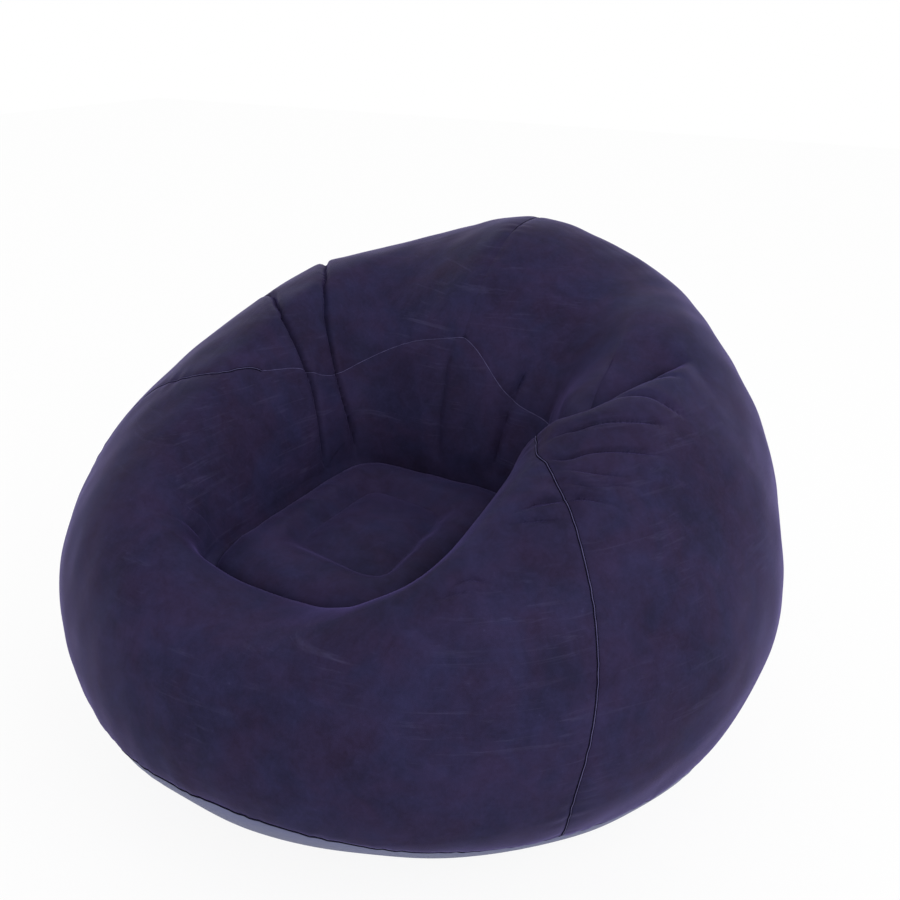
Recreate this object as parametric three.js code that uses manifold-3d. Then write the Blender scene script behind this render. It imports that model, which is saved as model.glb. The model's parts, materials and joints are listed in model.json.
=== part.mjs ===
// Inflatable armchair: a flocked skin of welded panels, blown up round a quilted seat in a deep well.
// Millimetres, +Z up. The sitter faces -Y and the floor is z = 0.
import * as THREE from 'three';
import Module from 'manifold-3d';
import { mergeVertices } from 'three/addons/utils/BufferGeometryUtils.js';

const wasm = await Module();
wasm.setup();

// Sheet goods, shared by every panel and tie.
const sheet = 0.8;
const tieSheet = 0.6;
const gap = 0.3;
const seamFin = 8;

// The blown-up skin hangs on five guide rings. A turn of 0 faces the front, 180 the back.
const equator = { half: 535, front: 519.5, back: 519, highFront: 218, highSide: 298, highBack: 298 };
const foot = { half: 355, front: 201, back: 351 };
const rim = { half: 266, front: 430, back: 363, highFront: 392, highSide: 616, highBack: 656 };
const peak = { rise: 80, spreadShare: 0.56 };
const bulge = { half: 164.5, front: 215, back: 200, riseFront: 12, riseSide: 18, riseBack: 23 };
const seat = { half: 152, front: 200, back: 196, centre: -130, height: 370 };
const pillow = { half: 61, front: 104, back: 112, centre: -160, crown: 19, channelRise: 10 };
const seatRoll = { crown: 26 };
const swell = { rollPower: 0.8, pillowPower: 4.5 };

// How full each stretch of skin is: 2 is an ellipse, less is flatter, more is squarer.
const fullness = { underPower: 1.5, ledgePower: 2 };
const overFullness = { frontPower: 2.38, sidePower: 1.75, backPower: 2.5 };
const wellFullness = { frontPower: 1.71, sidePower: 1.35, backPower: 1.9 };
const cornering = { plainPower: 2, rimPower: 3.1, bulgePower: 6.7, seatPower: 6, pillowPower: 8 };

// Folds that run down from the rim where the back is gathered in to the arms: how deep or, if
// below 0, how proud, on which column of the panels, and the stations over which each one grows.
const armFold = { depth: 15, column: 2, fromShare: 1.6, toShare: 2 };
const armPuff = { depth: -4, column: 4, fromShare: 1.7, toShare: 2.2 };
const backFold = { depth: 10, column: 6, fromShare: 1.7, toShare: 2.2 };
const backPuff = { depth: -4, column: 8, fromShare: 1.7, toShare: 2.2 };
const middleFold = { depth: 6, column: 10, fromShare: 2.5, toShare: 2.8 };
const folds = [armFold, armPuff, backFold, backPuff, middleFold];
const foldEndShares = [3.3, 4];

const same = 1e-6;
const smallTurn = 0.02;
const radians = THREE.MathUtils.degToRad;
const lerp = THREE.MathUtils.lerp;
const clamp01 = (value) => THREE.MathUtils.clamp(value, 0, 1);

// A size that goes from its front value by its side value to its back value round the skin.
function around(front, side, back, turn) {
  const ripple = ((front + back) / 2 - side) / 2;
  return side + ripple - ((back - front) / 2) * Math.cos(turn) + ripple * Math.cos(2 * turn);
}

// A point in plan on a ring whose corners are as square as the power asks.
function ringPlan(ring, turn, power, centre = 0) {
  const s = Math.sin(turn);
  const c = Math.cos(turn);
  const reach = (Math.abs(s) ** power + Math.abs(c) ** power) ** (-1 / power);
  const depth = c > 0 ? ring.front : ring.back;
  return new THREE.Vector3(ring.half * s * reach, centre - depth * c * reach, 0);
}

function guidePoints(turn) {
  const points = [
    ringPlan(foot, turn, cornering.plainPower),
    ringPlan(equator, turn, cornering.plainPower),
    ringPlan(rim, turn, cornering.rimPower),
    ringPlan(bulge, turn, cornering.bulgePower, seat.centre),
    ringPlan(seat, turn, cornering.seatPower, seat.centre),
  ];
  const fromBack = Math.atan2(Math.sin(turn - Math.PI), Math.cos(turn - Math.PI));
  points[1].z = around(equator.highFront, equator.highSide, equator.highBack, turn);
  points[2].z = around(rim.highFront, rim.highSide, rim.highBack, turn);
  points[2].z += peak.rise * Math.exp(-((fromBack / peak.spreadShare) ** 2));
  points[3].z = seat.height + around(bulge.riseFront, bulge.riseSide, bulge.riseBack, turn);
  points[4].z = seat.height;
  return points;
}

// Station 0 is the foot, 1 the equator, then come the rim, the bulge over the seat and the seat seam.
const rimShare = 2;
const bulgeShare = 3;
const seatShare = 4;

function skinPoint(turn, station) {
  const guides = guidePoints(turn);
  const stretch = Math.min(Math.floor(station), bulgeShare);
  const angle = (station - stretch) * (Math.PI / 2);
  const over = around(overFullness.frontPower, overFullness.sidePower, overFullness.backPower, turn);
  const well = around(wellFullness.frontPower, wellFullness.sidePower, wellFullness.backPower, turn);
  const power = [fullness.underPower, over, well, fullness.ledgePower][stretch];
  const s = Math.sin(angle) ** (2 / power);
  const c = Math.max(Math.cos(angle), 0) ** (2 / power);
  const upright = stretch === 1 || stretch === 3;
  const planShare = upright ? 1 - c : s;
  const heightShare = upright ? s : 1 - c;
  const a = guides[stretch];
  const b = guides[stretch + 1];
  const x = lerp(a.x, b.x, planShare);
  const y = lerp(a.y, b.y, planShare);
  return new THREE.Vector3(x, y, lerp(a.z, b.z, heightShare));
}

// The outward normal, from two small steps over the surface.
function skinNormal(turn, station) {
  const at = THREE.MathUtils.clamp(station, smallTurn, seatShare - smallTurn);
  const across = skinPoint(turn + smallTurn, at).sub(skinPoint(turn - smallTurn, at));
  const along = skinPoint(turn, at + smallTurn).sub(skinPoint(turn, at - smallTurn));
  return across.cross(along).normalize();
}

// The seams of the skin. The front panel ends at the base seam, at the side seam on each flank and
// at the top seam inside the well, where the two rear panels come over the rim to meet it.
const baseShare = 0.7;
const sideRows = [
  [48.3, 0.7], [48.2, 0.82], [48.6, 0.97], [49.8, 1.13], [52.5, 1.3], [55.9, 1.48],
  [59.9, 1.66], [64.5, 1.83], [70.2, 2], [77, 2.15], [86, 2.3],
].map(([degrees, station]) => ({ turn: radians(degrees), station }));
const sideCount = sideRows.length - 1;
const topCount = 12;
const frontCount = 12;
const topDegrees = [86, 97, 108, 113, 118, 122, 126, 135, 144, 154, 163, 171.5, 180];
const topBend = { degrees: 133, share: 2.65 };
const topDrop = { sideShare: 0.35, sidePower: 3, backShare: 0.055, backPower: 1.5 };

function topSeam(column) {
  const degrees = topDegrees[column];
  const toSide = clamp01((topBend.degrees - degrees) / (topBend.degrees - topDegrees[0]));
  const toBack = clamp01((degrees - topBend.degrees) / (180 - topBend.degrees));
  const sideDrop = topDrop.sideShare * toSide ** topDrop.sidePower;
  const backDrop = topDrop.backShare * toBack ** topDrop.backPower;
  return { turn: radians(degrees), station: topBend.share - sideDrop - backDrop };
}

// Depth of the fold on one column. All of them end in the ledge behind the seat.
function foldDent(column, station) {
  const fold = folds.find((candidate) => candidate.column === column);
  if (!fold) return 0;
  const grown = THREE.MathUtils.smoothstep(station, fold.fromShare, fold.toShare);
  return fold.depth * grown * (1 - THREE.MathUtils.smoothstep(station, ...foldEndShares));
}

function skinVertex(turn, station, dent = 0) {
  const normal = skinNormal(turn, station);
  return { point: skinPoint(turn, station).addScaledVector(normal, -dent), normal };
}

// An order of places that two panels agree on, so that both split a shared seam the same way.
function comesFirst(a, b) {
  const order = [a.z - b.z, a.y - b.y, a.x - b.x].find((step) => Math.abs(step) > same);
  return order < 0;
}

// A sheet is built from its outer face: rows of vertices, then loops where it turns in to be welded.
class Sheet {
  constructor(thickness) {
    this.thickness = thickness;
    this.points = [];
    this.faces = [];
  }

  add(point) {
    this.points.push(point);
    return this.points.length - 1;
  }

  // Both faces of one vertex.
  vertex({ point, normal }) {
    const outer = this.add(point.clone());
    const inner = this.add(point.clone().addScaledVector(normal, -this.thickness));
    return { outer, inner, normal };
  }

  quad(a, b, c, d, otherWay = false) {
    if (otherWay) this.faces.push([a, b, d], [b, c, d]);
    else this.faces.push([a, b, c], [a, c, d]);
  }

  length(a, b) {
    return this.points[a.outer].distanceTo(this.points[b.outer]);
  }

  // Both skins of a grid of columns, each a list of vertices from row 0 up.
  grid(columns, closed) {
    const count = closed ? columns.length : columns.length - 1;
    for (let i = 0; i < count; i += 1) {
      const here = columns[i];
      const next = columns[(i + 1) % columns.length];
      for (let j = 0; j + 1 < here.length; j += 1) {
        const rising = this.length(here[j], next[j + 1]);
        const falling = this.length(next[j], here[j + 1]);
        const otherWay = falling < rising - same;
        this.quad(here[j].outer, next[j].outer, next[j + 1].outer, here[j + 1].outer, otherWay);
        this.quad(next[j].inner, here[j].inner, here[j + 1].inner, next[j + 1].inner, !otherWay);
      }
    }
  }

  // Plain cut edges round a sheet that has no weld fin there.
  edge(loop) {
    loop.forEach((vertex, i) => {
      const next = loop[(i + 1) % loop.length];
      this.quad(vertex.outer, vertex.inner, next.inner, next.outer);
    });
  }

  // A cap of triangles that closes the grid's last row on one middle vertex.
  cap(columns, middle) {
    columns.forEach((column, i) => {
      const here = column[column.length - 1];
      const next = columns[(i + 1) % columns.length][column.length - 1];
      this.faces.push([here.outer, next.outer, middle.outer], [here.inner, middle.inner, next.inner]);
    });
  }

  // The edge turned in as a weld fin. The loop runs with the sheet on its left, seen from outside.
  fin(loop, depth, setBack) {
    const places = loop.map(({ outer }) => this.points[outer].clone());
    const ends = loop.map((vertex, i) => {
      const before = places[(i + loop.length - 1) % loop.length];
      const after = places[(i + 1) % loop.length];
      const intoFrom = (a, b) => vertex.normal.clone().cross(b.clone().sub(a)).normalize();
      const first = intoFrom(before, places[i]);
      const second = intoFrom(places[i], after);
      const into = first.clone().add(second).divideScalar(1 + first.dot(second));
      const outer = this.points[vertex.outer].addScaledVector(into, setBack);
      this.points[vertex.inner].addScaledVector(into, setBack + this.thickness);
      const low = outer.clone().addScaledVector(vertex.normal, -depth);
      const lowIn = low.clone().addScaledVector(into, this.thickness);
      return { outer: this.add(low), inner: this.add(lowIn) };
    });
    loop.forEach((vertex, i) => {
      const j = (i + 1) % loop.length;
      const otherWay = comesFirst(places[i], places[j]);
      this.quad(vertex.outer, ends[i].outer, ends[j].outer, loop[j].outer, otherWay);
      this.quad(ends[i].outer, ends[i].inner, ends[j].inner, ends[j].outer);
      this.quad(ends[i].inner, vertex.inner, loop[j].inner, ends[j].inner, otherWay);
    });
  }

  geometry() {
    const positions = this.points.flatMap((p) => [p.x, p.y, p.z]);
    const geometry = new THREE.BufferGeometry();
    geometry.setAttribute('position', new THREE.Float32BufferAttribute(positions, 3));
    geometry.setIndex(this.faces.flat());
    return geometry;
  }
}

const chair = new THREE.Group();
const flock = new THREE.MeshStandardMaterial({ color: 0x35325a, roughness: 0.95, metalness: 0 });
const vinyl = new THREE.MeshStandardMaterial({ color: 0x767b97, roughness: 0.45, metalness: 0 });
const moulding = new THREE.MeshStandardMaterial({ color: 0xb9bcc8, roughness: 0.4, metalness: 0 });

function addPiece(parent, name, geometry, material) {
  const mesh = new THREE.Mesh(geometry, material);
  mesh.name = name;
  parent.add(mesh);
}

// Front panel: one sheet from the base seam up the front, over the lip and the arms and down the
// well to the seat seam. Its columns start on the seams and end round the seat.
const wallRows = 6;
const ledgeShares = [0.5, 1];
const frontRows = wallRows + ledgeShares.length;
const seatDegrees = [98, 110, 122, 126, 130, 135, 139, 144, 151, 158, 165, 172.5, 180];
const topLeans = [1.4, 2];
const backLean = 3;
const seatFrontDegrees = 45;

function frontOutline() {
  const half = [];
  for (let k = topCount; k > 0; k -= 1) {
    const lean = topLeans[k] ?? backLean;
    half.push({ ...topSeam(k), column: k, seatTurn: radians(seatDegrees[k]), lean });
  }
  for (let j = sideCount; j > 0; j -= 1) {
    const share = j / sideCount;
    const seatTurn = radians(lerp(seatFrontDegrees, seatDegrees[0], share));
    half.push({ ...sideRows[j], column: -1, seatTurn, lean: lerp(1, topLeans[0], share) });
  }
  for (let i = 0; i < frontCount / 2; i += 1) {
    const share = 1 - (2 * i) / frontCount;
    const turn = sideRows[0].turn * share;
    const seatTurn = radians(seatFrontDegrees) * share;
    half.push({ turn, station: baseShare, column: -1, seatTurn, lean: 1 });
  }
  const middle = { turn: 0, station: baseShare, column: -1, seatTurn: 0, lean: 1 };
  const mirrored = half.slice(1).reverse().map((p) => ({ ...p, turn: -p.turn, seatTurn: -p.seatTurn }));
  return [...half, middle, ...mirrored];
}

// Stations spaced evenly over the skin along a column, from just after one station to another.
function spaced(placeAt, from, to, count) {
  const fine = 32;
  const stationAt = (i) => lerp(from, to, i / fine);
  const lengths = [0];
  let before = placeAt(from);
  for (let i = 1; i <= fine; i += 1) {
    const point = placeAt(stationAt(i));
    lengths.push(lengths[i - 1] + point.distanceTo(before));
    before = point;
  }
  const stations = [];
  for (let row = 1; row < count; row += 1) {
    const target = (lengths[fine] * row) / count;
    const i = lengths.findIndex((length) => length >= target);
    stations.push(stationAt(i - 1 + (target - lengths[i - 1]) / (lengths[i] - lengths[i - 1])));
  }
  if (count > 0) stations.push(to);
  return { stations, length: lengths[fine] };
}

// Places along one column. One row lies on the rim, which is tight over the arms, and one on the
// bulge; the ledge rows go on from there to the seat seam.
function frontColumn({ turn, station, column, seatTurn, lean }) {
  const passed = (at) => (at - station) / (seatShare - station);
  const turnAt = (at) => lerp(turn, seatTurn, 1 - (1 - passed(at)) ** lean);
  const placeAt = (at) => skinPoint(turnAt(at), at);
  const start = Math.max(station, rimShare);
  const overRim = spaced(placeAt, station, start, 1).length;
  const share = overRim / (overRim + spaced(placeAt, start, bulgeShare, 1).length);
  const rimRow = station < start ? Math.max(1, Math.round(wallRows * share)) : 0;
  const stations = [
    station,
    ...spaced(placeAt, station, start, rimRow).stations,
    ...spaced(placeAt, start, bulgeShare, wallRows - rimRow).stations,
    ...ledgeShares.map((ledgeShare) => bulgeShare + ledgeShare),
  ];
  const rows = stations.map((at) => skinVertex(turnAt(at), at, foldDent(column, at)));
  rows[frontRows].normal = new THREE.Vector3(0, 0, 1);
  return rows;
}

const outline = frontOutline();
const frontSheet = new Sheet(sheet);
const frontColumns = outline.map(frontColumn)
  .map((rows) => rows.map((v) => frontSheet.vertex(v)))
  .reverse();
frontSheet.grid(frontColumns, true);
frontSheet.fin(frontColumns.map((rows) => rows[0]), seamFin, gap / 2);
frontSheet.fin(frontColumns.map((rows) => rows[frontRows]).reverse(), seamFin, gap / 2);
addPiece(chair, 'front_panel', frontSheet.geometry(), flock);

// Rear panels: a mirrored pair that meet on the centre back seam, from the base seam up the outside,
// over the rim and down the back of the well to the top seam. The shares say where their columns lie
// between the side seam and the middle of the back, at four heights. The folds draw them together.
const evenShares = topDegrees.map((_, k) => k / topCount);
const foldTopShares = [0, 0.19, 0.377, 0.4, 0.42, 0.44, 0.46, 0.55, 0.64, 0.73, 0.82, 0.91, 1];
const rimShares = [0, 0.11, 0.225, 0.26, 0.29, 0.325, 0.357, 0.46, 0.57, 0.69, 0.8, 0.9, 1];
const topShares = topDegrees.map((degrees) => (degrees - topDegrees[0]) / (180 - topDegrees[0]));
const foldTopHeightShare = 1.73;

function rearPlace(k, j) {
  const side = sideRows[j];
  const top = topSeam(k);
  const overRim = Math.max(0, side.station - rimShare) / (sideRows[sideCount].station - rimShare);
  const station = Math.min(side.station, rimShare) + (top.station - rimShare) * overRim;
  const knots = [
    [baseShare, evenShares],
    [foldTopHeightShare, foldTopShares],
    [rimShare, rimShares],
    [top.station, topShares],
  ];
  const upper = Math.max(1, knots.findIndex(([height]) => height >= station - same));
  const [[low, lowShare], [high, highShare]] = [knots[upper - 1], knots[upper]];
  const share = lerp(lowShare[k], highShare[k], THREE.MathUtils.smoothstep(station, low, high));
  return { turn: j === sideCount ? top.turn : lerp(side.turn, Math.PI, share), station };
}

// The valve sits in one cell of the left panel, and its stiff flange holds that cell flat.
const valveCell = { column: 9, row: 1 };

function rearColumns(sideSign) {
  const columns = [];
  for (let k = 0; k <= topCount; k += 1) {
    const rows = [];
    for (let j = 0; j <= sideCount; j += 1) {
      const { turn, station } = rearPlace(k, j);
      rows.push(skinVertex(sideSign * turn, station, foldDent(k, station)));
    }
    columns.push(rows);
  }
  return columns;
}

function flattenCell(columns) {
  const { column, row } = valveCell;
  const corners = [[0, 0], [1, 0], [1, 1], [0, 1]].map(([i, j]) => columns[column + i][row + j]);
  const middle = new THREE.Vector3();
  corners.forEach(({ point }) => middle.addScaledVector(point, 1 / corners.length));
  const first = corners[2].point.clone().sub(corners[0].point);
  const second = corners[3].point.clone().sub(corners[1].point);
  const normal = first.cross(second).normalize();
  if (normal.dot(corners[0].normal) < 0) normal.negate();
  corners.forEach((corner) => {
    corner.point.addScaledVector(normal, -corner.point.clone().sub(middle).dot(normal));
    corner.normal = normal.clone();
  });
  return { middle, normal };
}

// The loop round an open grid, with the sheet on its left.
function border(columns) {
  const last = columns.length - 1;
  const top = columns[0].length - 1;
  return [
    ...columns.map((rows) => rows[0]),
    ...columns[last].slice(1),
    ...columns.slice(0, last).reverse().map((rows) => rows[top]),
    ...columns[0].slice(1, top).reverse(),
  ];
}

function rearSheet(columns, sideSign) {
  const result = new Sheet(sheet);
  const ordered = sideSign > 0 ? columns : [...columns].reverse();
  const placed = ordered.map((rows) => rows.map((v) => result.vertex(v)));
  result.grid(placed, false);
  result.fin(border(placed), seamFin, gap / 2);
  return result;
}

const rightColumns = rearColumns(1);
const leftColumns = rearColumns(-1);
const valvePlace = flattenCell(leftColumns);
addPiece(chair, 'right_rear_panel', rearSheet(rightColumns, 1).geometry(), flock);

// Seat panel: a rolled border, a sunk channel in a square and a raised pillow, drawn down by ties.
const rollShares = [0, 0.18, 0.5, 0.82, 1];
const pillowShares = [0.3, 0.65];
const up = new THREE.Vector3(0, 0, 1);

function seatRing(turn) {
  return ringPlan(seat, turn, cornering.seatPower, seat.centre).setZ(seat.height);
}

function channelRing(turn) {
  return ringPlan(pillow, turn, cornering.pillowPower, pillow.centre).setZ(seat.height + pillow.channelRise);
}

const pillowTop = new THREE.Vector3(0, pillow.centre, seat.height + pillow.channelRise + pillow.crown);

function seatColumn(turn) {
  const edgePoint = seatRing(turn);
  const channel = channelRing(turn);
  const rows = rollShares.map((share) => {
    const point = edgePoint.clone().lerp(channel, share);
    point.z += seatRoll.crown * Math.sin(Math.PI * share) ** swell.rollPower;
    return point;
  });
  pillowShares.forEach((share) => {
    const point = channel.clone().lerp(pillowTop, share);
    point.z = channel.z + pillow.crown * (1 - (1 - share) ** swell.pillowPower);
    rows.push(point);
  });
  return rows;
}

// Vertex normals of a closed set of columns, from their neighbours.
function withNormals(columns, edgeNormal, lastNormal) {
  return columns.map((rows, i) => rows.map((point, j) => {
    if (j === 0) return { point, normal: edgeNormal(i) };
    if (j === rows.length - 1 && lastNormal) return { point, normal: lastNormal };
    const after = columns[(i + 1) % columns.length][j];
    const before = columns[(i + columns.length - 1) % columns.length][j];
    const beyond = rows[Math.min(j + 1, rows.length - 1)];
    const across = after.clone().sub(before);
    const along = beyond.clone().sub(rows[j - 1]);
    return { point, normal: across.cross(along).normalize() };
  }));
}

const seatTurns = outline.map((place) => place.seatTurn).reverse();
const seatSheet = new Sheet(sheet);
const seatColumns = withNormals(seatTurns.map(seatColumn), () => up)
  .map((rows) => rows.map((v) => seatSheet.vertex(v)));
seatSheet.grid(seatColumns, true);
seatSheet.cap(seatColumns, seatSheet.vertex({ point: pillowTop, normal: up }));
seatSheet.fin(seatColumns.map((rows) => rows[0]), seamFin, gap / 2);
addPiece(chair, 'seat_panel', seatSheet.geometry(), flock);

// Base panel: plain vinyl, a shallow bowl from the base seam in to the flat that stands on the floor.
const baseShares = [0.7, 0.5, 0.3, 0.14, 0];
const down = new THREE.Vector3(0, 0, -1);
const footMiddle = new THREE.Vector3(0, (foot.back - foot.front) / 2, 0);
const baseTurns = [];
for (let k = topCount; k > 0; k -= 1) baseTurns.push(rearPlace(k, 0).turn);
for (let i = 0; i <= frontCount; i += 1) baseTurns.push(sideRows[0].turn * (1 - (2 * i) / frontCount));
for (let k = 1; k < topCount; k += 1) baseTurns.push(-rearPlace(k, 0).turn);

const baseSheet = new Sheet(sheet);
const baseColumns = baseTurns.map((turn) => baseShares.map((station) => {
  const vertex = skinVertex(turn, station);
  return baseSheet.vertex(station > 0 ? vertex : { point: vertex.point, normal: down });
}));
baseSheet.grid(baseColumns, true);
baseSheet.cap(baseColumns, baseSheet.vertex({ point: footMiddle, normal: down }));
baseSheet.fin(baseColumns.map((rows) => rows[0]), seamFin, gap / 2);
addPiece(chair, 'base_panel', baseSheet.geometry(), vinyl);

// Ties: upright sheets inside the air that hold the seat down. Four run down from the seat seam and
// four from the channel. Each is one sheet with weld tabs, and air passes between their ends.
const tab = 12;
const edgeFoot = { half: 140, front: 115, back: 100, centre: -46 };
const channelFoot = { half: 60, front: 62, back: 62, centre: -66 };
const tieHalfDegrees = 33;
const tieMiddleDegrees = [0, 90, 180, 270];
const tieNames = ['front', 'right', 'back', 'left'];

function tieTurns(middleDegrees) {
  const inside = (degrees) => Math.abs(degrees - middleDegrees) < tieHalfDegrees;
  return seatTurns.map((turn) => THREE.MathUtils.radToDeg(turn))
    .map((degrees) => (inside(degrees) ? degrees : degrees + 360))
    .filter(inside)
    .sort((a, b) => a - b)
    .map(radians);
}

// Plan direction to the middle of the seat, square to the path of a ring at one place.
function inward(ringAt, turn) {
  const along = ringAt(turn + smallTurn).sub(ringAt(turn - smallTurn)).setZ(0).normalize();
  return up.clone().cross(along);
}

function tie(turns, topAt, footRing, footPower, topTab) {
  const result = new Sheet(tieSheet);
  const columns = turns.map((turn) => {
    const top = topAt(turn);
    const low = ringPlan(footRing, turn, footPower, footRing.centre).setZ(sheet + gap);
    const into = inward((at) => ringPlan(footRing, at, footPower, footRing.centre), turn);
    const rows = [
      { point: low.clone().addScaledVector(into, tab), normal: down },
      { point: low, normal: down.clone().sub(into) },
      { point: top, normal: topTab ? up.clone().sub(into) : into.clone().negate() },
    ];
    if (topTab) rows.push({ point: top.clone().addScaledVector(into, topTab), normal: up });
    return rows.map((v) => result.vertex(v));
  });
  result.grid(columns, false);
  result.edge(border(columns));
  return result.geometry();
}

const besideFin = gap / 2 + sheet + gap;
const topOfEdgeTie = (turn) => seatRing(turn)
  .addScaledVector(inward(seatRing, turn), besideFin)
  .addScaledVector(up, -sheet - gap);
const topOfChannelTie = (turn) => channelRing(turn).addScaledVector(up, -sheet - gap);
tieNames.forEach((side, i) => {
  const turns = tieTurns(tieMiddleDegrees[i]);
  const edgeTie = tie(turns, topOfEdgeTie, edgeFoot, cornering.seatPower, 0);
  const channelTie = tie(turns, topOfChannelTie, channelFoot, cornering.pillowPower, tab);
  addPiece(chair, `seat_edge_tie_${side}`, edgeTie, vinyl);
  addPiece(chair, `channel_tie_${side}`, channelTie, vinyl);
});

// Solids for the booleans, from closed geometry with its shared vertices merged, and back again.
function solidOf(geometry) {
  const bare = geometry.clone();
  bare.deleteAttribute('normal');
  bare.deleteAttribute('uv');
  const merged = mergeVertices(bare);
  const mesh = new wasm.Mesh({
    numProp: 3,
    vertProperties: new Float32Array(merged.attributes.position.array),
    triVerts: new Uint32Array(merged.index.array),
  });
  return new wasm.Manifold(mesh);
}

function geometryOf(solid) {
  const mesh = solid.getMesh();
  const geometry = new THREE.BufferGeometry();
  geometry.setAttribute('position', new THREE.Float32BufferAttribute(mesh.vertProperties, 3));
  geometry.setIndex(Array.from(mesh.triVerts));
  return geometry;
}

// Valve: a wide neck welded to the inside of the left rear panel, an insert that fills the neck and
// comes out to let the air go at once, a check flap under the insert's bore and a stopper in it.
const valve = { bore: 14.3, neckWall: 2.2, stand: 5, depth: 8, flange: 25, flangeThick: 1.2 };
const holeReach = 8;
const segments = { ring: 40, rod: 20, flap: 24 };
const neck = valve.bore + valve.neckWall;
const insert = {
  rim: 17.6, rimThick: 1.6, tipRadius: 12.6, wall: 1.5, depth: 9,
  bore: 6.4, boreWall: 1.4, boreDepth: 8,
};
const spoke = { count: 3, wide: 1.8, hub: 2.4, hubBore: 1.3, thick: 1.4 };
const stopper = {
  tipRadius: 5.2, depth: 5.5, head: 8.6, headThick: 1.5, hollow: 3.6, tabWide: 6, tabReach: 4,
};
const flap = { radius: 7.2, thick: 0.8, stem: 1, headRadius: 1.9, headThick: 0.8, travel: 2 };
const knuckle = { radius: 1.3, wide: 5, ear: 1.8, reach: 4.2 };

const turned = (outlinePairs, count = segments.ring) => {
  const points = outlinePairs.map(([radius, height]) => new THREE.Vector2(radius, height));
  const geometry = new THREE.LatheGeometry([...points, points[0].clone()], count);
  return solidOf(geometry.rotateX(Math.PI / 2));
};
const block = (wide, deep, high) => solidOf(new THREE.BoxGeometry(wide, deep, high));
const rod = (radius, length) => solidOf(new THREE.CylinderGeometry(radius, radius, length, segments.rod));

const deck = valve.stand + gap + insert.rimThick;
const underSkin = -sheet - gap;

// Two ears that hold a strap's root, on the -Y side. Each stands up at a radius from a low arm.
function ears(pivot, carrier, base, shoulder) {
  const across = knuckle.wide / 2 + gap + knuckle.ear / 2;
  const end = pivot.radius + knuckle.radius;
  const part = (sign, from, low, high) => block(knuckle.ear, end - from, high - low)
    .translate([sign * across, -(end + from) / 2, (high + low) / 2]);
  const ear = (sign) => part(sign, carrier, base, shoulder.height)
    .add(part(sign, shoulder.radius, base, pivot.height + knuckle.radius));
  return ear(1).add(ear(-1));
}

// A strap from a round head to its root, which turns between the ears.
function strap(pivot, from, height, thick) {
  const length = pivot.radius - from;
  const bar = block(knuckle.wide, length, thick).translate([0, -from - length / 2, height]);
  const root = rod(knuckle.radius, knuckle.wide).rotate([0, 0, 90]);
  return bar.add(root.translate([0, -pivot.radius, pivot.height]));
}

const insertTop = valve.stand + gap;
const insertPivot = { radius: insert.rim + knuckle.reach, height: insertTop + insert.rimThick / 2 };
const stopperPivot = { radius: stopper.head + knuckle.reach, height: deck + gap + knuckle.radius };

const neckEars = ears(insertPivot, neck - valve.neckWall / 2, gap, {
  radius: insert.rim + gap, height: valve.stand,
});
const neckSolid = turned([
  [valve.bore, -valve.depth], [neck, -valve.depth], [neck, underSkin - valve.flangeThick],
  [valve.flange, underSkin - valve.flangeThick], [valve.flange, underSkin], [neck, underSkin],
  [neck, valve.stand], [valve.bore, valve.stand],
]).add(neckEars);

const boreLow = insertTop - insert.boreDepth;
const tipLow = insertTop - insert.depth;
const underTop = insertTop - insert.wall;
const insertBody = turned([
  [insert.bore, boreLow], [insert.bore + insert.boreWall, boreLow],
  [insert.bore + insert.boreWall, underTop], [valve.bore - gap - insert.wall, underTop],
  [insert.tipRadius - insert.wall, tipLow], [insert.tipRadius, tipLow],
  [valve.bore - gap, insertTop], [insert.rim, insertTop], [insert.rim, deck], [insert.bore, deck],
]);
const spokeLength = insert.bore + insert.boreWall / 2;
let spider = rod(spoke.hub, spoke.thick).rotate([90, 0, 0]);
for (let i = 0; i < spoke.count; i += 1) {
  const arm = block(spokeLength, spoke.wide, spoke.thick).translate([spokeLength / 2, 0, 0]);
  spider = spider.add(arm.rotate([0, 0, (360 * i) / spoke.count + 90]));
}
spider = spider.subtract(rod(spoke.hubBore, spoke.thick * 2).rotate([90, 0, 0]));
const insertEars = ears(stopperPivot, stopper.head + gap, deck - insert.rimThick / 2, {
  radius: stopper.head + 2 * gap, height: deck,
});
const insertSolid = insertBody.add(spider.translate([0, 0, boreLow + spoke.thick / 2]))
  .add(strap(insertPivot, insert.rim - insert.wall, insertPivot.height, insert.rimThick))
  .add(insertEars);

const plugTop = deck + gap;
const plugLow = plugTop - stopper.depth;
const headMiddle = plugTop + stopper.headThick / 2;
const tabLength = stopper.tabReach + insert.wall;
const stopperSolid = turned([
  [0, plugLow + insert.wall], [stopper.hollow, plugLow + insert.wall],
  [stopper.hollow, plugLow], [stopper.tipRadius, plugLow],
  [insert.bore - gap, plugTop], [stopper.head, plugTop],
  [stopper.head, plugTop + stopper.headThick], [0, plugTop + stopper.headThick],
])
  .add(strap(stopperPivot, stopper.head - insert.wall, headMiddle, stopper.headThick))
  .add(block(stopper.tabWide, tabLength, stopper.headThick)
    .translate([0, stopper.head - insert.wall + tabLength / 2, headMiddle]));

const flapTop = boreLow - gap;
const stemTop = flapTop + gap + spoke.thick + flap.travel + gap;
const flapSolid = turned([
  [0, flapTop - flap.thick], [flap.radius, flapTop - flap.thick],
  [flap.radius, flapTop], [flap.stem, flapTop],
  [flap.stem, stemTop], [flap.headRadius, stemTop],
  [flap.stem, stemTop + flap.headThick], [0, stemTop + flap.headThick],
], segments.flap);

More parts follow.
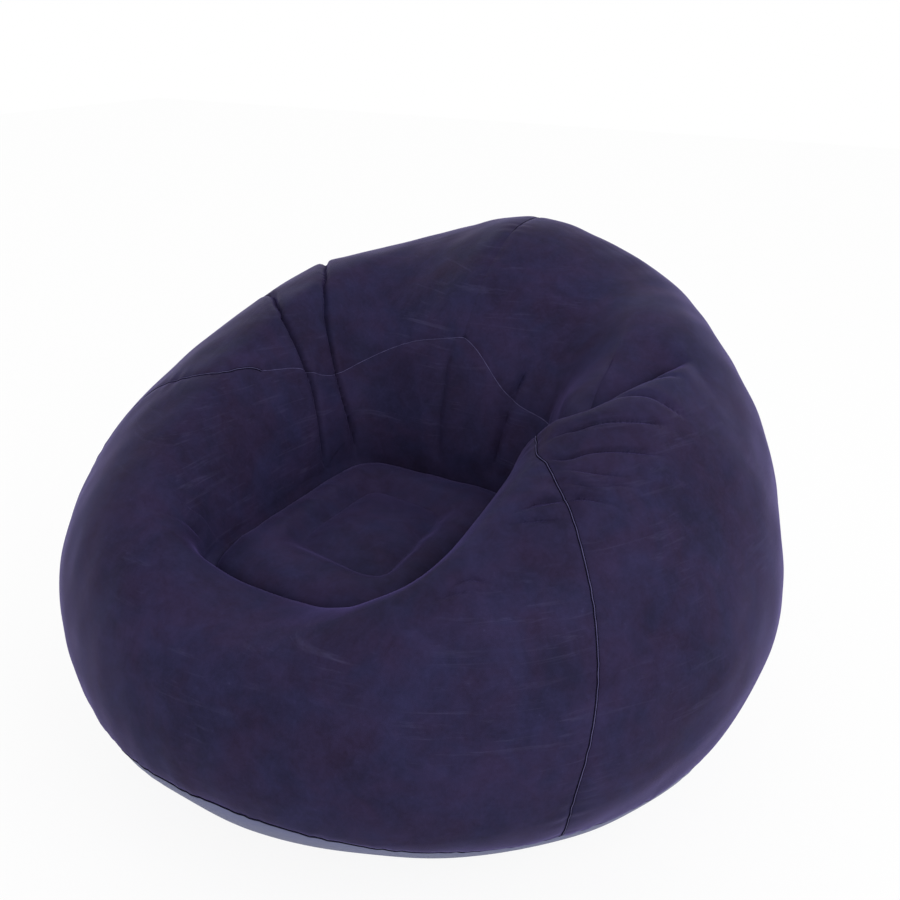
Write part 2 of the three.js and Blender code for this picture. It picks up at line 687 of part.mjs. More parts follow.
// The valve's own frame: +Z out of the skin, +Y up the panel.
const valveFrame = new THREE.Group();
const acrossSkin = up.clone().cross(valvePlace.normal).normalize();
const upSkin = valvePlace.normal.clone().cross(acrossSkin);
valveFrame.applyMatrix4(new THREE.Matrix4().makeBasis(acrossSkin, upSkin, valvePlace.normal)
  .setPosition(valvePlace.middle));
chair.add(valveFrame);
addPiece(valveFrame, 'valve_neck', geometryOf(neckSolid), moulding);
addPiece(valveFrame, 'valve_insert', geometryOf(insertSolid), moulding);
addPiece(valveFrame, 'valve_stopper', geometryOf(stopperSolid), moulding);
addPiece(valveFrame, 'check_flap', geometryOf(flapSolid), moulding);

// The left rear panel has the hole that the neck stands through.
valveFrame.updateMatrix();
const hole = new THREE.CylinderGeometry(neck + gap, neck + gap, holeReach, segments.ring)
  .rotateX(Math.PI / 2).applyMatrix4(valveFrame.matrix);
const leftPanel = solidOf(rearSheet(leftColumns, -1).geometry()).subtract(solidOf(hole));
addPiece(chair, 'left_rear_panel', geometryOf(leftPanel), flock);

// Joint frames for the record, in metres.
const toMetres = 0.001;
const say = (name, local) => {
  const place = new THREE.Vector3(0, -local.radius, local.height).applyMatrix4(valveFrame.matrix);
  console.log(name, place.multiplyScalar(toMetres).toArray().map((v) => v.toFixed(5)).join(', '));
};
say('insert hinge at', insertPivot);
say('stopper hinge at', stopperPivot);
console.log('hinge axis', acrossSkin.toArray().map((v) => v.toFixed(5)).join(', '));
console.log('valve axis', valvePlace.normal.toArray().map((v) => v.toFixed(5)).join(', '));

export default chair;
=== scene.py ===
# Inflatable armchair: a flocked skin of welded panels, blown up round a quilted seat in a deep well.
# Metres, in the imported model's frame: +Z up, the sitter faces -Y and the floor is z = 0.
import json
import math

import bmesh
import bpy
import numpy as np
from mathutils import Matrix, Vector


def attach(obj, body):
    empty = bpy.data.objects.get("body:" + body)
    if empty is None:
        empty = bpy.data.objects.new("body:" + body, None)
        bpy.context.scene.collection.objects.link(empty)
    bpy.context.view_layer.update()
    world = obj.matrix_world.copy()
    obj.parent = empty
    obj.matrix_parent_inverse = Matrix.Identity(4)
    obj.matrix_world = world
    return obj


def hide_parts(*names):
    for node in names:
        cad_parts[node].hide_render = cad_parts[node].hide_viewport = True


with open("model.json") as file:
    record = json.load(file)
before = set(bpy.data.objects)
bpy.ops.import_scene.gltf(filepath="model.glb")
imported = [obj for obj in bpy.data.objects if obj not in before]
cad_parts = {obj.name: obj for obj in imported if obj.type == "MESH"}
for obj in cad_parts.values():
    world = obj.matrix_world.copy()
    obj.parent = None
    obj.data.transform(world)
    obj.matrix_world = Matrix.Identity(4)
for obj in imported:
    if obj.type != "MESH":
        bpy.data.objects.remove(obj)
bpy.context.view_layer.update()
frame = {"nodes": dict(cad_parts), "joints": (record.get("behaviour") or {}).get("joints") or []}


# Front panel
# One sheet of vinyl with a short dense flock on its face. It comes up the front from the base seam,
# over the lip and the arms, and down the well to the seat, and is welded to its neighbours.

# A value given at the front, the sides and the back, which runs smoothly round between them.
def around(front, side, back, turn):
    ripple = ((front + back) / 2 - side) / 2
    return side + ripple - (back - front) / 2 * np.cos(turn) + ripple * np.cos(2 * turn)


# A ring seen from above: half its width, its reach to the front and to the back of its centre, and how
# square it is, from 2 for an ellipse upwards. The turn is 0 at the front and grows towards +X.
def ring_plan(half, front, back, power, turn, centre=0.0):
    sine, cosine = np.sin(turn), np.cos(turn)
    reach = (np.abs(sine) ** power + np.abs(cosine) ** power) ** (-1 / power)
    return half * sine * reach, centre - np.where(cosine > 0, front, back) * cosine * reach


seat_centre, seat_height = -0.130, 0.370


# The seat seam, seen from above.
def seat_ring(turn):
    return ring_plan(half=0.152, front=0.200, back=0.196, power=6, turn=turn, centre=seat_centre)


# Five rings that guide the skin, from the floor up and in again: foot, equator, rim, the foot of the
# well and the seat seam. The rim stands up in a peak at the middle of the back.
def guide_rings(turn):
    flat = np.zeros_like(turn)
    from_back = np.arctan2(np.sin(turn - np.pi), np.cos(turn - np.pi))
    peak_height, peak_spread = 0.080, 0.56
    peak = peak_height * np.exp(-((from_back / peak_spread) ** 2))
    foot = ring_plan(half=0.355, front=0.201, back=0.351, power=2, turn=turn)
    equator = ring_plan(half=0.538, front=0.521, back=0.526, power=2, turn=turn)
    rim = ring_plan(half=0.266, front=0.430, back=0.363, power=3.1, turn=turn)
    bulge = ring_plan(half=0.1645, front=0.215, back=0.200, power=6.7, turn=turn, centre=seat_centre)
    heights = [
        flat,
        around(front=0.207, side=0.294, back=0.317, turn=turn),
        around(front=0.395, side=0.619, back=0.659, turn=turn) + peak,
        seat_height + around(front=0.012, side=0.018, back=0.023, turn=turn),
        flat + seat_height,
    ]
    return [(x, y, z) for (x, y), z in zip([foot, equator, rim, bulge, seat_ring(turn)], heights)]


# A place on the skin has a turn and a station. Station 0 is the foot, 1 the equator, 2 the rim, 3 the
# foot of the well and 4 the seat seam. The arcs between them are superellipses, each with its power.
def ruled_point(turn, station):
    rings = guide_rings(turn)
    stretch = np.clip(np.floor(station), 0, 3).astype(int)
    angle = (station - stretch) * np.pi / 2
    foot_power, ledge_power = 1.5 + 0 * turn, 2 + 0 * turn
    side_power = around(front=2.38, side=1.75, back=2.5, turn=turn)
    well_power = around(front=1.71, side=1.35, back=1.9, turn=turn)
    power = np.choose(stretch, [foot_power, side_power, well_power, ledge_power])
    rising = np.clip(np.sin(angle), 0, 1) ** (2 / power)
    falling = np.clip(np.cos(angle), 0, 1) ** (2 / power)
    upright = (stretch == 1) | (stretch == 3)
    shares = [np.where(upright, 1 - falling, rising)] * 2 + [np.where(upright, rising, 1 - falling)]
    starts = [np.choose(stretch, [ring[i] for ring in rings[:4]]) for i in range(3)]
    ends = [np.choose(stretch, [ring[i] for ring in rings[1:]]) for i in range(3)]
    return np.stack([start + (end - start) * share for start, end, share in zip(starts, ends, shares)], -1)


# The air rounds the skin over the equator and the rim, so places near them are averaged up and down.
def skin_point(turn, station):
    turn, station = np.broadcast_arrays(np.asarray(turn, float), np.asarray(station, float))
    from_ring = station - np.clip(np.round(station), 1, 2)
    widest, fading = 0.16, 0.22
    reach = widest * np.exp(-((from_ring / fading) ** 2))
    total = 0
    for step, share in ((-1, 0.14), (-0.5, 0.23), (0, 0.26), (0.5, 0.23), (1, 0.14)):
        total = total + share * ruled_point(turn, np.clip(station + step * reach, 0, 4))
    return total


# Vectors shortened or stretched to a length of one.
def unit(vectors):
    return vectors / np.maximum(np.linalg.norm(vectors, axis=-1, keepdims=True), 1e-12)


# The direction straight out of the smooth skin.
def skin_normal(turn, station):
    step = 0.02
    at = np.clip(station, step, 4 - step)
    across = skin_point(turn + step, at) - skin_point(turn - step, at)
    along = skin_point(turn, at + step) - skin_point(turn, at - step)
    return unit(np.cross(across, along))


# A smooth curve through knots, read at places counted in knots.
def through(knots, places):
    knots = np.asarray(knots, float)
    slopes = np.gradient(knots, axis=0)
    last = np.clip(np.floor(places).astype(int), 0, len(knots) - 2)
    t = places - last
    if knots.ndim > 1:
        t = t[:, None]
    return ((2 * t**3 - 3 * t**2 + 1) * knots[last] + (t**3 - 2 * t**2 + t) * slopes[last]
            + (3 * t**2 - 2 * t**3) * knots[last + 1] + (t**3 - t**2) * slopes[last + 1])


# A soft step from 0 to 1 between two values.
def smoothstep(value, low, high):
    part = np.clip((value - low) / (high - low), 0, 1)
    return part * part * (3 - 2 * part)


# Folds and wrinkles of the blown-up skin, as (turn in degrees, station) along each one.
left_arm_fold = [(-104, 1.74), (-101.5, 1.828), (-96.2, 1.972), (-94.9, 2.14), (-98.5, 2.292),
                 (-102.5, 2.4), (-106.2, 2.485), (-109.5, 2.55),
                 (-113.8, 2.667), (-118.7, 2.841), (-120.3, 2.95), (-124, 3.2)]
right_arm_fold = [(108.5, 1.73), (106.3, 1.755), (102.8, 1.788), (96.3, 1.843), (89.2, 1.916), (83.5, 2.02),
                  (82, 2.13), (84, 2.264), (88, 2.4), (95, 2.52), (104, 2.62), (112, 2.7),
                  (118, 2.84), (122, 3.15)]
left_back_fold = [(-123, 1.74), (-119.5, 1.828), (-114.7, 1.968), (-112.5, 2.132), (-114.2, 2.275),
                  (-116, 2.38), (-118.8, 2.475),
                  (-122, 2.564), (-127.3, 2.704), (-132.2, 2.841), (-134.8, 2.987), (-136, 3.15)]
right_well_fold = [(149.2, 2.55), (150.2, 2.648), (151.8, 2.719), (151.3, 2.788), (152, 2.86),
                   (152.4, 2.94), (152.6, 3.04)]
back_well_fold = [(-174, 2.6), (-174.2, 2.667), (-175, 2.758), (-175, 2.83), (-176.5, 3)]
lip_creases = [
    [(-49.8, 2.3), (-49.2, 2.397), (-51, 2.573), (-54.2, 2.727), (-58.2, 3.1), (-60, 3.3)],
    [(-42.3, 1.942), (-42.2, 2.258), (-46.2, 2.594), (-52, 2.95)],
    [(41.5, 1.99), (43, 1.914), (45.3, 1.912), (47.5, 1.882), (48.3, 1.826), (50, 1.78)],
    [(40, 1.96), (41.3, 1.899), (43.8, 1.876), (45.7, 1.837), (46.7, 1.785), (47.5, 1.75)],
]
arm_wrinkles = [
    [(73, 2.133), (75.5, 2.03), (76.5, 1.972), (79.7, 1.886), (84.2, 1.779), (88, 1.7)],
    [(69.5, 2.176), (70, 2.05), (71, 1.93), (74.2, 1.855), (80.5, 1.712), (83, 1.66)],
    [(84.5, 1.93), (86.7, 1.882), (89.8, 1.798), (91.2, 1.727), (92.2, 1.66)],
    [(93, 1.87), (95, 1.835), (98.7, 1.777), (101, 1.723)],
    [(67.5, 1.96), (68.5, 1.915), (70.7, 1.82), (73.3, 1.749), (75.3, 1.7)],
    [(65.5, 1.95), (66.2, 1.906), (68.5, 1.8), (72.2, 1.734), (74.5, 1.67)],
    [(60, 1.95), (60.8, 1.918), (64.5, 1.843), (67.7, 1.773), (70, 1.71)],
    [(58.2, 2.03), (59, 1.989), (61.7, 1.923), (65, 1.835), (69.8, 1.685)],
    [(56, 1.99), (58, 1.93), (60.5, 1.84), (63, 1.77)],
]
# Depth is how far the groove sinks, width how fast it opens, and puff how far the skin swells beside
# it, in mm. Fade is the length in metres over which each end dies away. Behind is for a fold that laps
# over: how broadly, in metres, and how bluntly the skin at its back sinks towards it.
creases = [
    dict(path=right_arm_fold, depth=17, width=4.5, puff=8, behind=(0.018, 1), fade=(0.05, 0.1)),
    dict(path=right_arm_fold, depth=30, width=10, puff=0, behind=(0.064, 2), fade=(0.22, 0.1)),
    dict(path=left_arm_fold, depth=11, width=2.8, puff=2, fade=(0.02, 0.05)),
    dict(path=left_back_fold, depth=10, width=2.8, puff=2, fade=(0.02, 0.05)),
    dict(path=right_well_fold, depth=9, width=5, puff=3),
    dict(path=back_well_fold, depth=5, width=6, puff=2),
]
creases += [dict(path=path, depth=depth, width=2.8, puff=0.7)
            for path, depth in zip(lip_creases, (2.2, 2.6, 5.6, 5.6))]
creases += [dict(path=path, depth=depth, width=2.6, puff=depth * 0.55)
            for path, depth in zip(arm_wrinkles, (6, 6, 5, 4, 4.6, 4.6, 4.6, 4.8, 3.6))]


# How far each point is from a line of points, how far along the line that is, and on which side.
def reach_line(points, normals, line):
    best = np.full(len(points), 1e9)
    along = np.zeros(len(points))
    side = np.ones(len(points))
    lengths = np.linalg.norm(np.diff(line, axis=0), axis=1)
    starts = np.concatenate([[0], np.cumsum(lengths)])
    for here, beyond, start, length in zip(line[:-1], line[1:], starts, lengths):
        ahead = (beyond - here) / length
        offset = points - here
        passed = np.clip(offset @ ahead, 0, length)
        away = offset - passed[:, None] * ahead
        distance = np.linalg.norm(away, axis=1)
        nearer = distance < best
        best = np.where(nearer, distance, best)
        along = np.where(nearer, start + passed, along)
        side = np.where(nearer, np.sign(np.einsum("ij,ij->i", np.cross(ahead, away), normals)), side)
    return best, along, side, starts[-1]


# How far one crease moves each point out along its normal. Where a fold laps over, only the skin in
# front of it swells.
def crease_height(points, normals, path, depth, width, puff, behind=None, fade=(0.05, 0.04)):
    knots = np.array(path, float)
    places = np.linspace(0, len(knots) - 1, 8 * (len(knots) - 1) + 1)
    turns, stations = through(knots, places).T
    line = skin_point(np.radians(turns), stations)
    margin = 0.18 if behind else 0.12
    low, high = line.min(0) - margin, line.max(0) + margin
    near = np.flatnonzero(((points > low) & (points < high)).all(1))
    height = np.zeros(len(points))
    if len(near) == 0:
        return height
    distance, along, side, length = reach_line(points[near], normals[near], line)
    start, end = (min(reach, length / 2) for reach in fade)
    ends = smoothstep(along, 0, start) * (1 - smoothstep(along, length - end, length))
    blunt = 0.0012
    soft = np.sqrt(distance**2 + blunt**2) - blunt
    puff_reach = 4 * width / 1000
    swell = (distance / puff_reach) * np.exp(1 - distance / puff_reach)
    groove = np.exp(-soft / (width / 1000))
    if behind:
        groove = np.where(side > 0, groove, np.exp(-((soft / behind[0]) ** behind[1])))
        swell *= side > 0
    height[near] = ends * (puff * swell - depth * groove) / 1000
    return height


# Uneven swellings, as in any skin cut from flat sheet: waves of one length that run in all directions.
def uneven(points, wavelength, seed):
    generator = np.random.default_rng(seed)
    total = np.zeros(len(points))
    waves = 7
    for _ in range(waves):
        direction = generator.normal(size=3)
        direction *= 2 * np.pi / wavelength / np.linalg.norm(direction)
        total += np.sin(points @ direction + generator.uniform(0, 2 * np.pi))
    return total / waves**0.5


# Behind the right arm fold the skin is slack, and the rim sinks between the fold and the back.
slack_centre, slack_radius, slack_depth = np.array([0.250, 0.088, 0.634]), 0.090, 0.012
deepest_wrinkle = 6


# The folds, the wrinkles and the unevenness on the smooth skin. Held is how far a weld keeps wrinkles
# down, and creases deeper than the deepest wrinkle, in mm, run on through it.
def relief(points, normals, held):
    broad, fine = 0.0016, 0.0005
    height = broad * uneven(points, wavelength=0.20, seed=3) + fine * uneven(points, wavelength=0.06, seed=4)
    from_slack = np.linalg.norm(points - slack_centre, axis=1)
    height -= slack_depth * np.exp(-((from_slack / slack_radius) ** 2))
    for crease in creases:
        free = 1 if crease["depth"] > deepest_wrinkle else 1 - held
        height += free * crease_height(points, normals, **crease)
    return height


# Puckers that run square to a weld and come in groups, and the dip in which the weld lies, in mm.
# Wrinkles stop short of a weld, so its distance is given back too.
def seam_height(points, normals, line, dip, pucker):
    distance, along, _, _ = reach_line(points, normals, line)
    pucker_length, group_length, pucker_reach, dip_reach = 0.023, 0.17, 0.022, 0.006
    drift, drift_length = 1.5, 0.05
    wave = np.sin(2 * np.pi * along / pucker_length + drift * np.sin(along / drift_length))
    wave = wave * np.sin(2 * np.pi * along / group_length + 1) ** 2
    height = -dip * np.exp(-distance / dip_reach) + pucker * wave * np.exp(-((distance / pucker_reach) ** 2))
    return height / 1000, distance


# The side seams climb from the base seam, over the arms and into the well: turn in degrees, station.
base_station = 0.63
side_seam = {
    1: [(47.8, base_station), (47.8, 0.82), (48.2, 0.97), (49.8, 1.13), (52.5, 1.3), (55.9, 1.48),
        (59.9, 1.66), (64.6, 1.83), (68.8, 2.0), (73, 2.2), (86, 2.4)],
    -1: [(47.8, base_station), (48.3, 0.82), (50, 0.97), (53, 1.13), (58, 1.3), (65, 1.48),
         (70.5, 1.66), (71.2, 1.83), (72.5, 2.0), (76, 2.17), (86, 2.355)],
}


# The front panel stops higher than the rear ones, so the base panel comes up in front of its middle.
def base_seam(degrees):
    half_width, rise, tail = 34, 0.30, 0.09
    middle = np.exp(-((np.abs(degrees) / half_width) ** 2.6))
    return base_station + rise * np.clip((middle - tail) / (1 - tail), 0, 1)


# The front panel's columns along the top seam, from the side seam to the middle of the back: the turn
# at the seam, the turn at the seat, and how early the column leans over to it.
top_turns = [86, 97, 108, 113, 118, 122, 126, 135, 144, 154, 163, 171.5, 180]
seat_turns = [98, 110, 122, 126, 130, 135, 139, 144, 151, 158, 165, 172.5, 180]
leans = [1.4, 2] + [3] * 11


# The top seam, which is welded in the well: highest at the arms, and pulled up or down on each side.
def top_station(degrees, side):
    def near(middle, width):
        return np.exp(-(((degrees - middle) / width) ** 2))

    deepest, arm_rise, back_rise = 2.65, 0.25, 0.055
    halfway, reach = 133, 47
    to_side = np.clip((halfway - degrees) / reach, 0, 1)
    to_back = np.clip((degrees - halfway) / reach, 0, 1)
    pull = 0.065 if side > 0 else -0.05
    pulled = pull * near(middle=148, width=20) * (1 - to_back**6)
    if side < 0:
        pulled = pulled - 0.099 * near(middle=102, width=18)
    return deepest - arm_rise * to_side**3 - back_rise * to_back**1.5 + pulled


# Places from 0 to the number of counts, with that count of steps between whole ones.
def steps(counts):
    stretches = [i + np.arange(1, n + 1) / n for i, n in enumerate(counts)]
    return np.concatenate([[0.0], np.concatenate(stretches)])


# The outline that the front panel's columns start on, from the back round one side to the front:
# along the top seam, the side seam and the base seam.
def front_half(side):
    along_top = steps([9] * 8 + [6] * 4)[::-1]
    top = through(top_turns, along_top)
    seat_at = through(seat_turns, along_top)
    lean = np.interp(along_top, range(len(leans)), leans)
    columns = [np.stack([top, top_station(top, side), seat_at, lean], 1)]
    along_side = steps([12, 12, 12, 12, 14, 24, 34, 34, 26, 16])[::-1][1:]
    seam = through(side_seam[side], along_side)
    share = along_side / (len(side_seam[side]) - 1)
    at_corner, at_side, more_lean = 45, seat_turns[0], 0.4
    seat_at = at_corner + (at_side - at_corner) * share
    columns.append(np.stack([seam[:, 0], seam[:, 1], seat_at, 1 + more_lean * share], 1))
    low_columns = 60
    share = 1 - np.arange(1, low_columns + 1) / low_columns
    low_turn = side_seam[side][0][0] * share
    columns.append(np.stack([low_turn, base_seam(low_turn), at_corner * share, 1 + 0 * share], 1))
    return np.concatenate(columns)


# Columns run from the panel's outline to the seat seam, over the lip or an arm and down the well. Their
# rows are evenly spaced down to the ledge round the seat.
def front_grid(wall_rows, ledge_rows):
    right, left = front_half(1), front_half(-1)
    left[:, [0, 2]] *= -1
    outline = np.concatenate([right, left[::-1][1:-1]])[::-1]
    turn, station, seat_turn = np.radians(outline[:, 0]), outline[:, 1], np.radians(outline[:, 2])
    lean = outline[:, 3]

    def turn_at(at):
        passed = (at - station[:, None]) / (4 - station[:, None])
        return turn[:, None] + (seat_turn - turn)[:, None] * (1 - (1 - passed) ** lean[:, None])

    fine = np.linspace(0, 1, 97)[None, :]
    at = station[:, None] + (3 - station[:, None]) * fine
    spots = skin_point(turn_at(at), at)
    lengths = np.linalg.norm(np.diff(spots, axis=1), axis=2)
    lengths = np.concatenate([np.zeros((len(at), 1)), np.cumsum(lengths, axis=1)], 1)
    wanted = np.linspace(0, 1, wall_rows + 1)
    stations = np.stack([np.interp(wanted * reached[-1], reached, row) for reached, row in zip(lengths, at)])
    ledge = 3 + np.linspace(0, 1, ledge_rows + 1)[1:]
    stations = np.concatenate([stations, np.broadcast_to(ledge, (len(at), ledge_rows))], 1)
    return turn_at(stations), stations


# The welds as lines of points, with the depth of each one's dip and the height of its puckers in mm.
def seam_line(turns, stations):
    return skin_point(np.radians(turns), stations)


seam_lines = {}
for side, word in ((1, "right"), (-1, "left")):
    seam = through(side_seam[side], steps([8] * 10))
    seam_lines["side_" + word] = seam_line(side * seam[:, 0], seam[:, 1])
    top = through(top_turns, steps([5] * 12))
    seam_lines["top_" + word] = seam_line(side * top, top_station(top, side))
back_top_station = 2.595
back_stations = np.linspace(base_station, back_top_station, 90)
seam_lines["back"] = seam_line(180 + 0 * back_stations, back_stations)
round_turns = np.linspace(-180, 180, 181)
seam_lines["base"] = seam_line(round_turns, base_seam(round_turns))
dips = {"side": (2.4, 0.8), "top_": (2.0, 0.7), "back": (2.2, 0.6), "base": (2.6, 0.7)}


# The skin as it is blown up: the smooth form, with its folds, seams and unevenness. Near the seat seam
# it lies smooth.
def blown_skin(turn, station):
    shape = turn.shape
    points = skin_point(turn, station).reshape(-1, 3)
    normals = skin_normal(turn, station).reshape(-1, 3)
    hold, hold_reach = 0.85, 0.010
    smooth_station, seat_station = 3.6, 4
    welds, held = 0, 0
    for name, line in seam_lines.items():
        height, distance = seam_height(points, normals, line, *dips[name[:4]])
        welds = welds + height
        held = np.maximum(held, hold * np.exp(-((distance / hold_reach) ** 2)))
    height = welds + relief(points, normals, held)
    height *= 1 - smoothstep(station.reshape(-1), smooth_station, seat_station)
    return (points + normals * height[:, None]).reshape(*shape, 3), normals.reshape(*shape, 3)


# The loops of a panel's free edges: two for a closed ring, one round an open sheet.
def rim_loops(index, closed):
    if closed:
        return [index[:, 0], index[::-1, -1]]
    return [np.concatenate([index[:, 0], index[-1, 1:], index[-2::-1, -1], index[0, -2:0:-1]])]


fin_depth = 0.008


# A panel from its grid of columns, with its edges turned in as weld fins. A middle point fills a closed
# ring.
def sheet_piece(name, points, normals, closed, fin_loops=None, middle=None):
    columns, rows = points.shape[:2]
    index = np.arange(columns * rows).reshape(columns, rows)
    here = index if closed else index[:-1]
    beyond = np.roll(index, -1, 0) if closed else index[1:]
    quads = np.stack([here[:, :-1], beyond[:, :-1], beyond[:, 1:], here[:, 1:]], -1).reshape(-1, 4)
    places = [points.reshape(-1, 3)]
    faces = quads.tolist()
    count = columns * rows
    flat_normals = normals.reshape(-1, 3)
    for loop in rim_loops(index, closed)[:fin_loops]:
        places.append(places[0][loop] - fin_depth * flat_normals[loop])
        low = count + np.arange(len(loop))
        count += len(loop)
        faces += np.stack([loop, low, np.roll(low, -1), np.roll(loop, -1)], -1).tolist()
    if middle is not None:
        places.append(np.array([middle]))
        last = index[:, -1]
        faces += np.stack([last, np.roll(last, -1), np.full(columns, count)], -1).tolist()
    mesh = bpy.data.meshes.new(name)
    mesh.from_pydata(np.concatenate(places).tolist(), [], faces)
    piece = bpy.data.objects.new(name, mesh)
    bpy.context.scene.collection.objects.link(piece)
    return piece


# One piece alone is selected.
def only(piece):
    bpy.ops.object.select_all(action="DESELECT")
    piece.select_set(True)
    bpy.context.view_layer.objects.active = piece


sheet_thickness, sharp_edge = 0.0008, 70


# A sheet gets its thickness inwards, and stays sharp only along its edges and fins.
def thicken(piece):
    only(piece)
    wall = piece.modifiers.new("wall", "SOLIDIFY")
    wall.thickness = sheet_thickness
    wall.offset = -1
    bpy.ops.object.modifier_apply(modifier="wall")
    bpy.ops.object.shade_smooth_by_angle(angle=math.radians(sharp_edge))


# These make the nodes of a material: a number or a colour is set on a socket, and an output is linked.
def feed(tree, socket, value):
    if isinstance(value, bpy.types.NodeSocket):
        tree.links.new(value, socket)
    else:
        socket.default_value = value


def noise(tree, vector, scale, detail=3.0, roughness=0.55, distortion=0.0):
    node = tree.nodes.new("ShaderNodeTexNoise")
    for name, value in (("Vector", vector), ("Scale", scale), ("Detail", detail),
                        ("Roughness", roughness), ("Distortion", distortion)):
        feed(tree, node.inputs[name], value)
    return node.outputs["Fac"]


def calc(tree, operation, first, second=0.0, third=0.0):
    node = tree.nodes.new("ShaderNodeMath")
    node.operation = operation
    for socket, value in zip(node.inputs, (first, second, third)):
        feed(tree, socket, value)
    return node.outputs[0]


def spread(tree, value, low, high, to_low=0.0, to_high=1.0):
    node = tree.nodes.new("ShaderNodeMapRange")
    for socket, number in zip(node.inputs, (value, low, high, to_low, to_high)):
        feed(tree, socket, number)
    return node.outputs[0]


def mix_colours(tree, share, first, second):
    node = tree.nodes.new("ShaderNodeMix")
    node.data_type = "RGBA"
    for place, value in ((0, share), (6, first), (7, second)):
        feed(tree, node.inputs[place], value)
    return node.outputs[2]


def raised(tree, height, distance, strength):
    node = tree.nodes.new("ShaderNodeBump")
    feed(tree, node.inputs["Height"], height)
    feed(tree, node.inputs["Distance"], distance)
    feed(tree, node.inputs["Strength"], strength)
    return node.outputs["Normal"]


# Flock: nylon pile a third of a millimetre long on indigo vinyl. It marks where it is brushed, so its
# tone and hue are cloudy, with faint hairlines and flecks. Its colour is painted paler where it is seen
# edge on, a painted sheen for the bright surroundings seen at a grazing angle, and less so over the
# well, as painted shade where little light comes.
dark_blue, dark_plum = (0.0172, 0.0157, 0.0410, 1), (0.0220, 0.0152, 0.0385, 1)
light_blue, light_plum = (0.0278, 0.0254, 0.0725, 1), (0.0332, 0.0250, 0.0690, 1)
mark_colour, painted_sheen_colour = (0.105, 0.098, 0.20, 1), (0.094, 0.068, 0.245, 1)
flock = bpy.data.materials.new("indigo_flock")
flock.use_nodes = True
tree = flock.node_tree
shader = tree.nodes["Principled BSDF"]
shader.inputs["Roughness"].default_value = 0.5
shader.inputs["Specular IOR Level"].default_value = 0.035
shader.inputs["Specular Tint"].default_value = (0.70, 0.62, 1, 1)
shader.inputs["Sheen Weight"].default_value = 0.08
shader.inputs["Sheen Roughness"].default_value = 0.30
shader.inputs["Sheen Tint"].default_value = (0.52, 0.44, 1, 1)
where = tree.nodes.new("ShaderNodeTexCoord").outputs["Object"]
brushed = tree.nodes.new("ShaderNodeMapping")
brushed.inputs["Scale"].default_value = (0.6, 0.6, 9)
brushed.inputs["Rotation"].default_value = (0.12, 0.2, 0)
tree.links.new(where, brushed.inputs["Vector"])
clouds = noise(tree, where, scale=9, detail=5, roughness=0.62, distortion=0.7)
mottle = noise(tree, where, scale=48, detail=4, roughness=0.62, distortion=0.5)
flecks = noise(tree, where, scale=230, detail=3, roughness=0.6, distortion=0.2)
tone = calc(tree, "ADD", calc(tree, "MULTIPLY", clouds, 0.5), calc(tree, "MULTIPLY", mottle, 0.34))
tone = calc(tree, "ADD", tone, calc(tree, "MULTIPLY", flecks, 0.16))
lightness = spread(tree, tone, 0.38, 0.63)
hue = spread(tree, noise(tree, where, scale=15, detail=3, roughness=0.6, distortion=0.4), 0.36, 0.64)
dark = mix_colours(tree, hue, dark_blue, dark_plum)
light = mix_colours(tree, hue, light_blue, light_plum)
face = mix_colours(tree, lightness, dark, light)
streaks = noise(tree, brushed.outputs["Vector"], scale=16, detail=5, roughness=0.7, distortion=0.6)
patches = noise(tree, where, scale=7, detail=2, roughness=0.5, distortion=0.3)
hairline = calc(tree, "MULTIPLY", spread(tree, streaks, 0.55, 0.74), spread(tree, patches, 0.47, 0.64))
fleck_mask = calc(tree, "MULTIPLY", spread(tree, flecks, 0.62, 0.74), spread(tree, mottle, 0.55, 0.68))
marks = calc(tree, "ADD", calc(tree, "MULTIPLY", hairline, 0.24), calc(tree, "MULTIPLY", fleck_mask, 0.10))
face = mix_colours(tree, calc(tree, "MINIMUM", marks, 1.0), face, mark_colour)
# Painted sheen: the colour turns towards a pale violet where the skin is seen edge on.
edge_on = tree.nodes.new("ShaderNodeLayerWeight")
edge_on.inputs["Blend"].default_value = 0.5
painted_sheen_share = calc(tree, "POWER", edge_on.outputs["Facing"], 5.5)
# Painted shade: near the middle, over the well, the painted sheen is cut to a quarter.
place = tree.nodes.new("ShaderNodeSeparateXYZ")
tree.links.new(where, place.inputs["Vector"])
y_squared = calc(tree, "MULTIPLY", place.outputs["Y"], place.outputs["Y"])
off_middle = calc(tree, "MULTIPLY_ADD", place.outputs["X"], place.outputs["X"], y_squared)
painted_sheen_share = calc(tree, "MULTIPLY", painted_sheen_share, spread(tree, off_middle, 0.085, 0.17, to_low=0.25))
tree.links.new(mix_colours(tree, painted_sheen_share, face, painted_sheen_colour), shader.inputs["Base Color"])
pile = noise(tree, where, scale=1300, detail=2, roughness=0.5)
nap = calc(tree, "ADD", pile, calc(tree, "MULTIPLY", mottle, 1.2))
tree.links.new(raised(tree, nap, distance=0.0004, strength=0.45), shader.inputs["Normal"])

front_turns, front_stations = front_grid(wall_rows=190, ledge_rows=22)
front_panel = sheet_piece("front_skin", *blown_skin(front_turns, front_stations), closed=True)
thicken(front_panel)
front_panel.data.materials.append(flock)
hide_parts("front_panel")
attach(front_panel, "chair")


# Rear panels
# A mirrored pair of flocked vinyl. They are welded together down the centre back and at the top of
# the well to the front panel, and folds gather them in above the arms.

# How far round to the back each column is at the foot, at the top of the arm fold, at the rim and at
# the top seam. The columns crowd together where the folds are.
foot_shares = np.arange(13) / 12
fold_top_shares = [0, 0.19, 0.377, 0.4, 0.42, 0.44, 0.46, 0.55, 0.64, 0.73, 0.82, 0.91, 1]
rim_shares = [0, 0.11, 0.225, 0.26, 0.29, 0.325, 0.357, 0.46, 0.57, 0.69, 0.8, 0.9, 1]
top_shares = (np.array(top_turns) - top_turns[0]) / (top_turns[-1] - top_turns[0])
fold_top_station, rim_station = 1.73, 2


